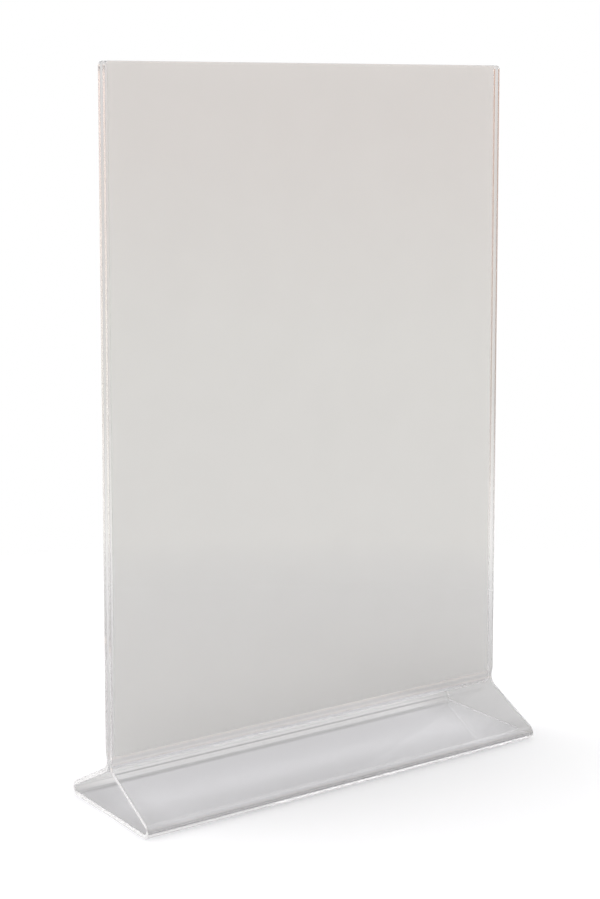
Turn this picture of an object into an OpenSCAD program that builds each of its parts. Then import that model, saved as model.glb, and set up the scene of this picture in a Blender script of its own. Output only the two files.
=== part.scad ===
// Double-sided sign stand folded from one clear acrylic sheet, with the two sign sheets that slide into it.
// The frame is +Z up, X along the width and Y front to back. The origin is the centre of the underside.

/* [Sign sheets] */
// Width of a sign sheet
sheet_w = 210; // [100:1:420]
// Height of a sign sheet
sheet_h = 297; // [140:1:420]
// Thickness of a sign sheet
sheet_t = 0.25; // [0.1:0.05:0.4]
// Clear space between the two sign sheets, which stand back to back
sheet_split = 0.3; // [0.2:0.05:0.5]
// Clearance between the foot of a sign sheet and the pinched neck that it stands on
seat_fit = 0.15; // [0.05:0.05:0.25]

/* [Acrylic sheet] */
// Thickness of the acrylic sheet
wall = 2; // [1.5:0.1:3]
// How far the leaves reach past each side edge of the sign sheets
side_margin = 2.5; // [0:0.5:10]
// How far the leaves reach above the top edge of the sign sheets
top_margin = 0.5; // [0:0.5:10]
// Clear width of the slot between the two leaves
slot_gap = 2; // [1.8:0.1:4]
// Radius of the leaves' top corners
corner_r = 2; // [0.5:0.5:10]

/* [Foot] */
// Depth of the foot from front to back, over its two rounded lower corners
foot_depth = 66; // [56:1:120]
// Height of the neck, the narrowest place between the two leaves
neck_z = 24.5; // [18:0.5:34]
// Clear width left at the neck, where the two leaves all but touch
neck_gap = 0.4; // [0.1:0.05:0.5]
// Inside radius of the bends at the foot's front and rear lower corners
foot_bend_r = 1.5; // [0.5:0.25:3]
// Inside radius of the bends at the neck
neck_bend_r = 5; // [2:0.25:8]
// Inside radius of the slight bends above the neck, which bring the leaves upright
ease_bend_r = 8; // [4:0.5:16]

/* [Hidden] */

// Widest angle of one flat in a bend
bend_step = 5;
// How far a cut runs past what it cuts
cut_past = 1;
$fn = 360 / bend_step;

// Radii of the bends along the middle of the wall
foot_mid_r = foot_bend_r + wall / 2;
neck_mid_r = neck_bend_r + wall / 2;
ease_mid_r = ease_bend_r + wall / 2;

// Centres of the bends in the rear half of the fold, as [depth, height]
foot_centre = [foot_depth / 2 - foot_bend_r - wall, foot_bend_r + wall];
neck_centre = [neck_gap / 2 + wall + neck_bend_r, neck_z];

// The slope is the straight run that touches both bends, over the lower one and under the upper one
bend_apart = neck_centre - foot_centre;
slope_angle = atan2(bend_apart.y, -bend_apart.x) - asin((foot_mid_r + neck_mid_r) / norm(bend_apart));

// Above the neck each leaf leans out by this angle, then comes upright at the slot's full width
lean_angle = acos(1 - (slot_gap - neck_gap) / 2 / (neck_mid_r + ease_mid_r));
ease_centre = neck_centre + (neck_mid_r + ease_mid_r) * [-cos(lean_angle), sin(lean_angle)];

// Radius of the neck bend on the slot's side, and half the slot's width where that bend ends
neck_face_r = neck_bend_r + wall;
knee_y = neck_gap / 2 + neck_face_r * (1 - cos(lean_angle));

// Height at which half the slot is y wide, on the neck bend or on the slight bend above it
function slot_height(y) = y < knee_y
    ? neck_z + neck_face_r * sin(acos(1 - (y - neck_gap / 2) / neck_face_r))
    : ease_centre.y - ease_bend_r * sin(acos(1 - (slot_gap / 2 - y) / ease_bend_r));

// Each sign sheet stands where the narrowing slot meets its outer face
sheet_in = sheet_split / 2;
sheet_z = slot_height(sheet_in + sheet_t + seat_fit);

// Size of the folded holder
holder_w = sheet_w + 2 * side_margin;
holder_h = sheet_z + sheet_h + top_margin;

// Points of an arc about a centre, between two directions
function arc(centre, r, from, to) =
    let (flats = ceil(abs(to - from) / bend_step))
    [for (i = [0:flats]) let (a = from + (to - from) * i / flats) centre + r * [cos(a), sin(a)]];

// One face of the rear half of the fold, from the base to the leaf's top: the outer face where side is 1, the
// inner face where it is -1
function half_face(side) =
    let (off = side * wall / 2)
    concat(
        arc(foot_centre, foot_mid_r + off, -90, 90 - slope_angle),
        arc(neck_centre, neck_mid_r - off, 270 - slope_angle, 180 - lean_angle),
        arc(ease_centre, ease_mid_r + off, -lean_angle, 0),
        [[(slot_gap + wall) / 2 + off, holder_h]]
    );

function reversed(points) = [for (i = [len(points) - 1:-1:0]) points[i]];

function mirrored(points) = [for (p = points) [-p.x, p.y]];

// Outline of the folded sheet, seen from its end: up outside the rear leaf, down inside the rear half, across
// the base, up inside the front half and down outside the front leaf
module fold() {
    outer = half_face(1);
    inner = half_face(-1);
    polygon(concat(outer, reversed(inner), mirrored(inner), reversed(mirrored(outer))));
}

// What a rounded corner takes off a leaf, seen from the front, with the square corner's point at the origin
module corner_waste() {
    translate([-corner_r, -corner_r])
        difference() {
            square(corner_r + cut_past);
            circle(corner_r);
        }
}

// One acrylic sheet, folded into the open foot, the slot and the two leaves
module acrylic_holder() {
    through = slot_gap + 2 * wall + 2 * cut_past;
    color([0.86, 0.87, 0.87, 0.4])
        difference() {
            translate([-holder_w / 2, 0, 0])
                rotate([90, 0, 90])
                    linear_extrude(holder_w)
                        fold();
            for (side = [0, 1])
                mirror([side, 0, 0])
                    translate([holder_w / 2, through / 2, holder_h])
                        rotate([90, 0, 0])
                            linear_extrude(through)
                                corner_waste();
        }
}

// Blank sign sheet whose inner face lies at depth y
module sign_sheet(y) {
    color([0.93, 0.92, 0.9])
        translate([-sheet_w / 2, y, sheet_z])
            cube([sheet_w, sheet_t, sheet_h]);
}

// Sheet that faces forwards through the front leaf
module front_sign_sheet() {
    sign_sheet(-sheet_in - sheet_t);
}

// Sheet that faces backwards through the rear leaf
module rear_sign_sheet() {
    sign_sheet(sheet_in);
}

acrylic_holder();
front_sign_sheet();
rear_sign_sheet();
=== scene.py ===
import math

import bmesh
import bpy
from mathutils import Matrix, Vector


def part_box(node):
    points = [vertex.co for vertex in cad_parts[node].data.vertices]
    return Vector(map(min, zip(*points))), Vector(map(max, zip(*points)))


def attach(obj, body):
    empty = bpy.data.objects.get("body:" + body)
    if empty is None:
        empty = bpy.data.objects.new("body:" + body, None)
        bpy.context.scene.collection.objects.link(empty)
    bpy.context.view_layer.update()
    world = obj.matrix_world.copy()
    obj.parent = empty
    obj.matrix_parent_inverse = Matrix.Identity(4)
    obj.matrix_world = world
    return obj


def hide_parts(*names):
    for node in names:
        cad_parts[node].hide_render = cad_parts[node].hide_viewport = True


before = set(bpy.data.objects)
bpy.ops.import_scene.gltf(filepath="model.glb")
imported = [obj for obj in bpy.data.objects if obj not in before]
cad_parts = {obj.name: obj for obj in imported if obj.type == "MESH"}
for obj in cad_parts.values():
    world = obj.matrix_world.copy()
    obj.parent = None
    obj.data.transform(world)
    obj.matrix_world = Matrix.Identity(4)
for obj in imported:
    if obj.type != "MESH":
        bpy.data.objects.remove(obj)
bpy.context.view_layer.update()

# Folded sheet
wall = 0.002
slot_gap = 0.002
neck_gap = 0.0004
neck_height = 0.0245
foot_bend_radius = 0.0015
neck_bend_radius = 0.005
ease_bend_radius = 0.008
bend_flat = math.radians(3)
corner_radius = 0.002
corner_steps = 8
cut_bevel = 0.00015
cut_bevel_steps = 2
round_profile = 0.5
keep_material = -1
mirror_reach = wall / 100
sharp_turn = math.radians(60)
flat_run_weight = 100

# Least part of a face's normal along an axis that counts as facing that way
facing_part = 0.5

# Polished faces of the acrylic
acrylic_ior = 1.49
glancing_loss = 0.08
acrylic_colour = (0.95, 0.95, 0.95, 1)
acrylic_tint = (0.97, 0.97, 0.975, 1)
haze_roughness = (0, 0.015)

# Haze, and like it each noise below, as lumps per metre, detail and scale along X, Y and Z
haze_noise = (14, 5, (1, 1, 0.45))

# Cut edges of the acrylic
cut_clearness = 0.82
cut_tint = (0.97, 0.97, 0.97, 1)
mottle_noise = (160, 3, (1, 1, 1))
mottle_colours = ((0.94, 0.93, 0.92), (0.99, 0.985, 0.98))
mark_noise = (900, 2, (0.1, 0.1, 1))
mark_roughness = (0.03, 0.12)
mark_height = 0.00001

# Cards
card_specular = 0.2
card_noise = (45, 6, (1, 1, 1))
card_colours = ((0.886, 0.891, 0.873), (0.926, 0.931, 0.913))
fibre_noise = (1800, 4, (1, 1, 0.5))
fibre_roughness = (0.8, 0.95)
fibre_height = 0.00004

# Camera, placed by the corners of the stand in the photograph
frame_height_px = 899
sensor_size = 36
focal_px = 1851.5
camera_place = Vector((-0.4831, -0.6788, 0.3094))
camera_yaw = math.radians(35.04)
camera_pitch = math.radians(6.17)
camera_shift = -0.17

# Floor, a hair below the stand's underside
floor_drop = 0.0002
floor_radius = 0.5
floor_sides = 96
floor_fade_from = 0.15
floor_fade_to = 0.45
floor_roughness = 0.9
floor_noise = (1.5, 2, (1, 1, 1))
floor_colours = ((0.95, 0.95, 0.95), (0.96, 0.96, 0.96))

# Share of its own white in the light that the floor throws on the cards, the rest being its painted
# shade
bounce_share = 0.4

# Painted shade on the floor where the acrylic shows it, standing in for the stand's contact shadow and
# the shade round it, as the distance from the foot's middle line and the tone there
painted_floor_shade = (
    (0.000, (0.83, 0.825, 0.825)),
    (0.026, (0.81, 0.805, 0.805)),
    (0.0285, (0.47, 0.465, 0.46)),
    (0.030, (0.47, 0.465, 0.46)),
    (0.032, (0.76, 0.755, 0.75)),
    (0.042, (0.76, 0.755, 0.75)),
    (0.052, (0.60, 0.595, 0.59)),
    (0.060, (0.60, 0.595, 0.59)),
)

# Its painted shade past the foot's ends, standing in for the stand's shadow there, and the distances
# along the foot between which that tone takes over
painted_shade_past_ends = (0.50, 0.495, 0.49, 1)
ends_from = 0.085
ends_to = 0.112

# Surroundings past the floor's edge, as the sine of the height and the colour seen there
sine_range = (-1, 1)
all_round = (
    (-0.40, (0.60, 0.60, 0.60)),
    (-0.20, (0.56, 0.55, 0.54)),
    (0.02, (0.58, 0.56, 0.55)),
    (0.15, (0.80, 0.79, 0.79)),
    (0.40, (1.08, 1.08, 1.09)),
)
bright_corner = (
    (-0.40, (0.76, 0.78, 0.86)),
    (-0.30, (0.80, 0.82, 0.90)),
    (-0.262, (0.92, 0.94, 0.98)),
    (-0.235, (1.38, 1.36, 1.26)),
    (-0.13, (1.58, 1.52, 1.36)),
    (-0.02, (1.56, 1.26, 1.10)),
    (0.06, (1.48, 1.18, 1.02)),
    (0.18, (0.85, 0.82, 0.80)),
    (0.40, (1.08, 1.08, 1.09)),
)
backdrop = (
    (-0.40, (0.95, 0.95, 0.95)),
    (-0.25, (0.90, 0.89, 0.88)),
    (-0.16, (0.68, 0.67, 0.66)),
    (-0.04, (0.66, 0.65, 0.64)),
    (0.06, (0.75, 0.75, 0.76)),
    (0.16, (0.80, 0.79, 0.80)),
    (0.40, (0.80, 0.79, 0.80)),
)
warm_corner = (
    (-0.40, (1.10, 1.10, 1.10)),
    (-0.25, (1.05, 1.03, 1.02)),
    (-0.16, (0.42, 0.32, 0.28)),
    (0.02, (0.60, 0.38, 0.29)),
    (0.15, (0.80, 0.76, 0.74)),
    (0.40, (1.08, 1.08, 1.09)),
)
overhead = (
    (0.20, (2.40, 2.38, 2.42)),
    (0.95, (2.40, 2.38, 2.42)),
)

# Patches, each with the way to its middle, the cosines at which it starts and is full, and its colours
patches = (
    ((0.581, -0.814, 0), 0.80, 0.97, bright_corner),
    ((0.581, 0.814, 0), 0.75, 0.95, backdrop),
    ((-0.581, 0.814, 0), 0.70, 0.92, warm_corner),
    ((-0.45, 0.30, 0.841), 0.86, 0.97, overhead),
)

# Shading
black = (0, 0, 0, 1)
white = (1, 1, 1, 1)
noise_low = 0.3
noise_high = 0.7
light_bounces = 110


# Nodes

def feed(tree, node, sources):
    """Gives a node's inputs either another node's output or a plain value"""
    for name, source in sources.items():
        if isinstance(source, bpy.types.NodeSocket):
            tree.links.new(source, node.inputs[name])
        else:
            node.inputs[name].default_value = source


def add_node(tree, kind, sources, **settings):
    """New node with its settings and what feeds it"""
    node = tree.nodes.new(kind)
    for name, setting in settings.items():
        setattr(node, name, setting)
    feed(tree, node, sources)
    return node


def work_out(tree, operation, *sources, kind="ShaderNodeMath"):
    """Number that one step of arithmetic gives"""
    return add_node(tree, kind, dict(enumerate(sources)), operation=operation).outputs["Value"]


def blend(tree, share, first, second):
    """Colour that goes from the first to the second with a share"""
    mix = add_node(tree, "ShaderNodeMix", {"Factor": share, "A": first, "B": second}, data_type="RGBA")
    return mix.outputs["Result"]


def own_place(tree):
    """Place on the piece's own coordinates"""
    return add_node(tree, "ShaderNodeTexCoord", {}).outputs["Object"]


def noise(tree, place, lumps, detail, scale):
    """Noise over a place"""
    scaled = add_node(tree, "ShaderNodeMapping", {"Vector": place, "Scale": scale}).outputs["Vector"]
    texture = add_node(tree, "ShaderNodeTexNoise", {"Vector": scaled, "Scale": lumps, "Detail": detail})
    return texture.outputs["Fac"]


def spread(tree, value, low, high, from_low=noise_low, from_high=noise_high):
    """Takes a value to the range from low to high"""
    ranges = {"From Min": from_low, "From Max": from_high, "To Min": low, "To Max": high}
    return add_node(tree, "ShaderNodeMapRange", {"Value": value, **ranges}).outputs["Result"]


def tones(tree, value, dark, light):
    """Colour that goes from dark to light with a value"""
    ramp = add_node(tree, "ShaderNodeValToRGB", {"Fac": value})
    for element, colour in zip(ramp.color_ramp.elements, (dark, light)):
        element.color = (*colour, 1)
    return ramp.outputs["Color"]


def band_colours(tree, value, stops, lowest, highest):
    """Colour by a value, from stops that each give a value and its colour"""
    ramp = add_node(tree, "ShaderNodeValToRGB", {"Fac": spread(tree, value, 0, 1, lowest, highest)})
    elements = ramp.color_ramp.elements
    elements.remove(elements[1])
    for index, (level, colour) in enumerate(stops):
        place = (level - lowest) / (highest - lowest)
        element = elements.new(place) if index else elements[0]
        element.position = place
        element.color = (*colour, 1)
    return ramp.outputs["Color"]


def bump(tree, value, height):
    """Relief as high as height where the value is 1"""
    relief = add_node(tree, "ShaderNodeBump", {"Strength": 1, "Distance": height, "Height": value})
    return relief.outputs["Normal"]


# Materials

def new_material(name):
    """Material with its node tree and its shader"""
    material = bpy.data.materials.new(name)
    material.use_nodes = True
    return material, material.node_tree, material.node_tree.nodes["Principled BSDF"]


def pass_light_straight(tree, shader, tint):
    """Lets light reach what lies behind the acrylic without bending it, less what glances off"""
    rays = add_node(tree, "ShaderNodeLightPath", {}).outputs
    is_light = work_out(tree, "MAXIMUM", rays["Is Shadow Ray"], rays["Is Diffuse Ray"])
    glance = add_node(tree, "ShaderNodeLayerWeight", {"Blend": glancing_loss}).outputs["Facing"]
    passed = blend(tree, glance, tint, black)
    straight = add_node(tree, "ShaderNodeBsdfTransparent", {"Color": passed}).outputs["BSDF"]
    either = add_node(tree, "ShaderNodeMixShader", {0: is_light, 1: shader.outputs["BSDF"], 2: straight})
    feed(tree, tree.nodes["Material Output"], {"Surface": either.outputs["Shader"]})


def polished_acrylic():
    """Clear acrylic with a grey cast and a little haze from wiping"""
    material, tree, shader = new_material("polished_acrylic")
    haze = noise(tree, own_place(tree), *haze_noise)
    looks = {
        "Base Color": acrylic_colour,
        "Transmission Weight": 1,
        "IOR": acrylic_ior,
        "Roughness": spread(tree, haze, *haze_roughness),
    }
    feed(tree, shader, looks)
    pass_light_straight(tree, shader, acrylic_tint)
    return material


def cut_acrylic():
    """Cut edge of the sheet: clear but lightly frosted, with faint marks left across its thickness"""
    material, tree, shader = new_material("cut_acrylic")
    place = own_place(tree)
    mottle = noise(tree, place, *mottle_noise)
    marks = noise(tree, place, *mark_noise)
    looks = {
        "Base Color": tones(tree, mottle, *mottle_colours),
        "Transmission Weight": cut_clearness,
        "IOR": acrylic_ior,
        "Roughness": spread(tree, marks, *mark_roughness),
        "Normal": bump(tree, marks, mark_height),
    }
    feed(tree, shader, looks)
    pass_light_straight(tree, shader, cut_tint)
    return material


def blank_card():
    """Blank white card with a soft fibre grain"""
    material, tree, shader = new_material("blank_card")
    place = own_place(tree)
    cloud = noise(tree, place, *card_noise)
    fibres = noise(tree, place, *fibre_noise)
    looks = {
        "Base Color": tones(tree, cloud, *card_colours),
        "Roughness": spread(tree, fibres, *fibre_roughness),
        "Specular IOR Level": card_specular,
        "Normal": bump(tree, fibres, fibre_height),
    }
    feed(tree, shader, looks)
    return material


def studio_floor():
    """White floor that fades out round its rim, with painted shade in place of the stand's shadow where
    the acrylic shows it
    """
    material, tree, shader = new_material("studio_floor")
    place = own_place(tree)
    parts = add_node(tree, "ShaderNodeSeparateXYZ", {"Vector": place}).outputs
    along = work_out(tree, "ABSOLUTE", parts["X"])
    across = work_out(tree, "ABSOLUTE", parts["Y"])
    # Painted shade in place of the stand's shadow, which every ray but the camera's sees, diffuse rays
    # only in part
    past_end = spread(tree, along, 0, 1, ends_from, ends_to)
    bands = band_colours(tree, across, painted_floor_shade, 0, painted_floor_shade[-1][0])
    painted_shade_tones = blend(tree, past_end, bands, painted_shade_past_ends)
    plain = tones(tree, noise(tree, place, *floor_noise), *floor_colours)
    rays = add_node(tree, "ShaderNodeLightPath", {}).outputs
    is_camera = rays["Is Camera Ray"]
    plain_share = work_out(tree, "MULTIPLY_ADD", rays["Is Diffuse Ray"], bounce_share, is_camera)
    reach = work_out(tree, "LENGTH", place, kind="ShaderNodeVectorMath")
    looks = {
        "Base Color": blend(tree, plain_share, painted_shade_tones, plain),
        "Roughness": floor_roughness,
        "Specular IOR Level": 0,
        "Alpha": spread(tree, reach, 1, 0, floor_fade_from, floor_fade_to),
    }
    feed(tree, shader, looks)
    return material


# Folded sheet

holder_low, holder_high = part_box("acrylic_holder")
holder_depth = holder_high.y - holder_low.y
holder_height = holder_high.z - holder_low.z

# Radii of the bends along the middle of the wall, and their centres in the rear half, as (depth, height)
foot_mid_radius = foot_bend_radius + wall / 2
neck_mid_radius = neck_bend_radius + wall / 2
ease_mid_radius = ease_bend_radius + wall / 2
foot_centre = Vector((holder_depth / 2 - foot_bend_radius - wall, foot_bend_radius + wall))
neck_centre = Vector((neck_gap / 2 + wall + neck_bend_radius, neck_height))
bends_apart = neck_centre - foot_centre
touch_angle = math.asin((foot_mid_radius + neck_mid_radius) / bends_apart.length)
slope_angle = math.atan2(bends_apart.y, -bends_apart.x) - touch_angle
slope_length = math.sqrt(bends_apart.length_squared - (foot_mid_radius + neck_mid_radius) ** 2)
lean_angle = math.acos(1 - (slot_gap - neck_gap) / 2 / (neck_mid_radius + ease_mid_radius))
ease_offset = Vector((-math.cos(lean_angle), math.sin(lean_angle)))
ease_centre = neck_centre + (neck_mid_radius + ease_mid_radius) * ease_offset


def run_on(bm, edge, depth, height):
    """Carries the sheet straight on from an edge"""
    made = bmesh.ops.extrude_edge_only(bm, edges=[edge])["geom"]
    corners = [g for g in made if isinstance(g, bmesh.types.BMVert)]
    bmesh.ops.translate(bm, verts=corners, vec=(0, depth, height))
    return bm.edges.get(corners)


def bend_round(bm, edge, centre, turn):
    """Bends the sheet round a line along the width"""
    made = bmesh.ops.spin(
        bm,
        geom=[*edge.verts, edge],
        cent=(0, centre.x, centre.y),
        axis=(1, 0, 0),
        angle=turn,
        steps=math.ceil(abs(turn) / bend_flat),
    )["geom_last"]
    return bm.edges.get([g for g in made if isinstance(g, bmesh.types.BMVert)])


def round_off(bm, kind, geometry, size, steps):
    """Rounds off corners or edges, with faces that keep their neighbours' material"""
    bmesh.ops.bevel(
        bm,
        geom=geometry,
        affect=kind,
        offset=size,
        segments=steps,
        profile=round_profile,
        material=keep_material,
    )


def folded_acrylic():
    """One sheet: half its outer face is folded from the base to the leaf, mirrored and given its wall"""
    bm = bmesh.new()
    across = [bm.verts.new((x, 0, 0)) for x in (holder_low.x, holder_high.x)]
    edge = run_on(bm, bm.edges.new(across), foot_centre.x, 0)
    edge = bend_round(bm, edge, foot_centre, math.pi - slope_angle)
    edge = run_on(bm, edge, -slope_length * math.cos(slope_angle), slope_length * math.sin(slope_angle))
    edge = bend_round(bm, edge, neck_centre, -(math.pi / 2 - slope_angle + lean_angle))
    edge = bend_round(bm, edge, ease_centre, lean_angle)
    edge = run_on(bm, edge, 0, holder_height - ease_centre.y)
    round_off(bm, "VERTICES", list(edge.verts), corner_radius, corner_steps)
    bmesh.ops.mirror(bm, geom=[*bm.verts, *bm.edges, *bm.faces], axis="Y", merge_dist=mirror_reach)
    bmesh.ops.recalc_face_normals(bm, faces=bm.faces)
    lowest = min(bm.faces, key=lambda face: face.calc_center_median().z)
    if lowest.normal.z > 0:
        bmesh.ops.reverse_faces(bm, faces=bm.faces)
    bmesh.ops.solidify(bm, geom=bm.faces, thickness=wall)
    cut_edges = [line for line in bm.edges if line.calc_face_angle(0) > sharp_turn]
    round_off(bm, "EDGES", cut_edges, cut_bevel, cut_bevel_steps)
    corner_start = holder_height - corner_radius
    for face in bm.faces:
        face.smooth = True
        is_end = abs(face.normal.x) > facing_part
        is_top = face.normal.z > facing_part and face.calc_center_median().z > corner_start
        face.material_index = 1 if is_end or is_top else 0
    return bm


def place_piece(name, bm, materials):
    """Puts a finished mesh in the scene with its materials"""
    mesh = bpy.data.meshes.new(name)
    bm.to_mesh(mesh)
    bm.free()
    for material in materials:
        mesh.materials.append(material)
    piece = bpy.data.objects.new(name, mesh)
    bpy.context.scene.collection.objects.link(piece)
    return piece


holder = place_piece("folded_acrylic", folded_acrylic(), [polished_acrylic(), cut_acrylic()])
flat_runs = holder.modifiers.new("flat_runs", "WEIGHTED_NORMAL")
flat_runs.mode = "FACE_AREA"
flat_runs.weight = flat_run_weight
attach(holder, "holder")
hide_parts("acrylic_holder")

# Cards, which keep their own flat shape

card = blank_card()
for node in ("front_sign_sheet", "rear_sign_sheet"):
    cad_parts[node].material_slots[0].material = card

# Studio

floor_mesh = bmesh.new()
bmesh.ops.create_circle(
    floor_mesh,
    cap_ends=True,
    segments=floor_sides,
    radius=floor_radius,
    matrix=Matrix.Translation((0, 0, -floor_drop)),
)
floor = place_piece("studio_floor", floor_mesh, [studio_floor()])


def surroundings():
    """Soft light all round, with a plain white background where the camera looks straight at it"""
    world = bpy.data.worlds.new("soft_surroundings")
    world.use_nodes = True
    tree = world.node_tree
    direction = add_node(tree, "ShaderNodeTexCoord", {}).outputs["Generated"]
    height = add_node(tree, "ShaderNodeSeparateXYZ", {"Vector": direction}).outputs["Z"]
    colour = band_colours(tree, height, all_round, *sine_range)
    for way, start, full, stops in patches:
        facing = work_out(tree, "DOT_PRODUCT", direction, way, kind="ShaderNodeVectorMath")
        share = spread(tree, facing, 0, 1, start, full)
        colour = blend(tree, share, colour, band_colours(tree, height, stops, *sine_range))
    is_camera = add_node(tree, "ShaderNodeLightPath", {}).outputs["Is Camera Ray"]
    feed(tree, tree.nodes["Background"], {"Color": blend(tree, is_camera, colour, white)})
    bpy.context.scene.world = world


def photo_camera():
    """Camera that sees the stand as the photograph does"""
    lens = bpy.data.cameras.new("camera")
    lens.sensor_width = sensor_size
    lens.lens = focal_px / frame_height_px * sensor_size
    lens.shift_y = camera_shift
    camera = bpy.data.objects.new("camera", lens)
    camera.location = camera_place
    camera.rotation_euler = (math.pi / 2 - camera_pitch, 0, -camera_yaw)
    bpy.context.scene.collection.objects.link(camera)
    bpy.context.scene.camera = camera


surroundings()
photo_camera()
bpy.context.scene.view_settings.view_transform = "Standard"
bpy.context.scene.cycles.max_bounces = light_bounces
bpy.context.scene.cycles.transmission_bounces = light_bounces
bpy.context.scene.cycles.glossy_bounces = light_bounces
